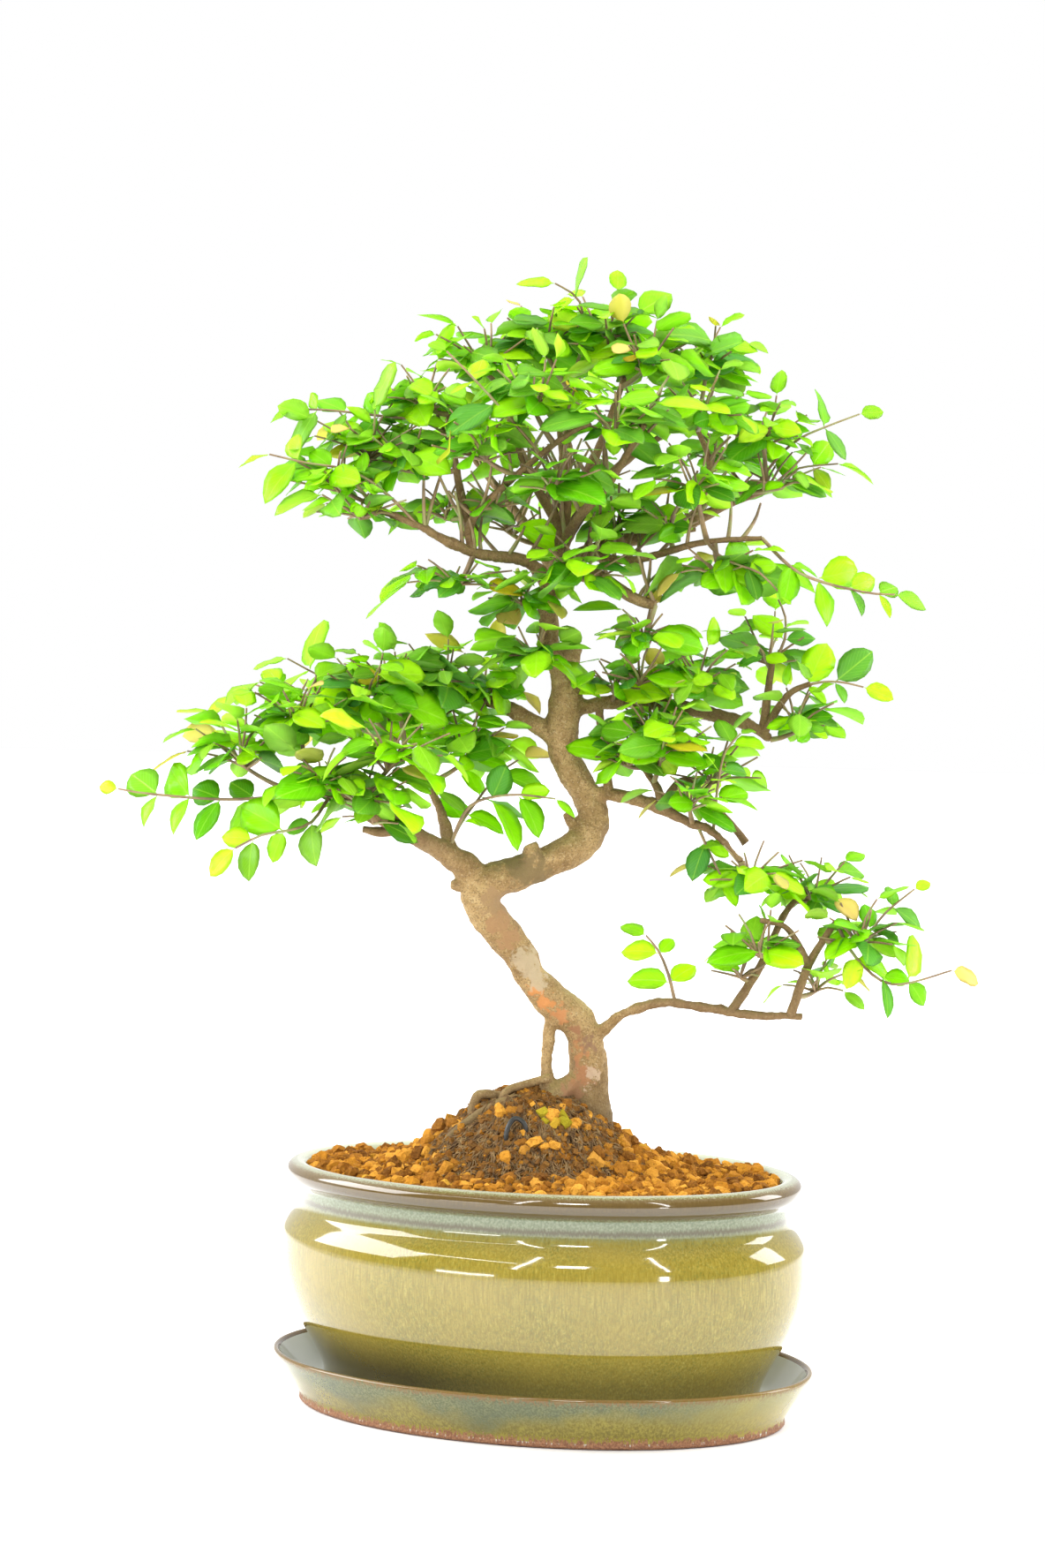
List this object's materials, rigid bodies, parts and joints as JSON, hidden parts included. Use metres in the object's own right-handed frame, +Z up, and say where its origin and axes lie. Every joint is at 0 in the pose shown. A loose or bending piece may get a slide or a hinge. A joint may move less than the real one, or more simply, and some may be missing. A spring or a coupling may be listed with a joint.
{
  "type": "potted bonsai tree",
  "caption": "Small-leaved bonsai tree with a winding trunk in an oval glazed pot on a shallow glazed tray, standing in granular soil.",
  "frame": {"origin": "middle of the tray's flat underside, on the surface it stands on", "axes": "+Z up the tree, +X along the pot's long side, -Y towards the pot's front"},
  "size_m": [0.3206, 0.2123, 0.4623],
  "materials": {
    "olive_glaze": "very glossy, streaked",
    "celadon_glaze": "glossy, unglazed foot edge",
    "plastic_mesh": "satin",
    "akadama": "matte, baked clay grains",
    "root_ball": "matte, fibrous soil",
    "wire_coating": "satin",
    "bark": "rough bark",
    "foliage": "glossy living leaves"
  },
  "bodies": {
    "root": {"drainage_mesh_left": "plastic_mesh", "drainage_mesh_right": "plastic_mesh", "pot": "olive_glaze", "root_ball": "root_ball", "saucer": "celadon_glaze", "shoot_base_long": "foliage", "shoot_base_near": "foliage", "shoot_crown_top": "foliage", "shoot_crown_trailing": "foliage", "shoot_left_inner": "foliage", "shoot_left_long": "foliage", "soil_bed": "akadama", "spray_base_front": "foliage", "spray_base_left": "foliage", "spray_base_right": "foliage", "spray_base_top": "foliage", "spray_crown_back_left": "foliage", "spray_crown_back_low": "foliage", "spray_crown_back_out": "foliage", "spray_crown_back_right": "foliage", "spray_crown_back_top": "foliage", "spray_crown_far_left": "foliage", "spray_crown_front": "foliage", "spray_crown_front_left": "foliage", "spray_crown_front_low": "foliage", "spray_crown_front_right": "foliage", "spray_crown_front_top": "foliage", "spray_crown_hanging": "foliage", "spray_crown_left": "foliage", "spray_crown_left_low": "foliage", "spray_crown_left_tip": "foliage", "spray_crown_left_top": "foliage", "spray_crown_peak": "foliage", "spray_crown_right": "foliage", "spray_crown_right_out": "foliage", "spray_crown_right_tip": "foliage", "spray_crown_right_top": "foliage", "spray_crown_top": "foliage", "spray_crown_top_left": "foliage", "spray_crown_top_right": "foliage", "spray_crown_under_left": "foliage", "spray_crown_under_right": "foliage", "spray_crown_underside": "foliage", "spray_leader": "foliage", "spray_left_back": "foliage", "spray_left_front": "foliage", "spray_left_inner": "foliage", "spray_left_low": "foliage", "spray_left_tip": "foliage", "spray_left_top": "foliage", "spray_left_top_in": "foliage", "spray_left_top_out": "foliage", "spray_right_front": "foliage", "spray_right_low": "foliage", "spray_right_out": "foliage", "spray_right_top": "foliage", "spray_right_top_in": "foliage", "spray_right_top_out": "foliage", "tie_wire": "wire_coating", "trunk": "bark"}
  },
  "joints": []
}
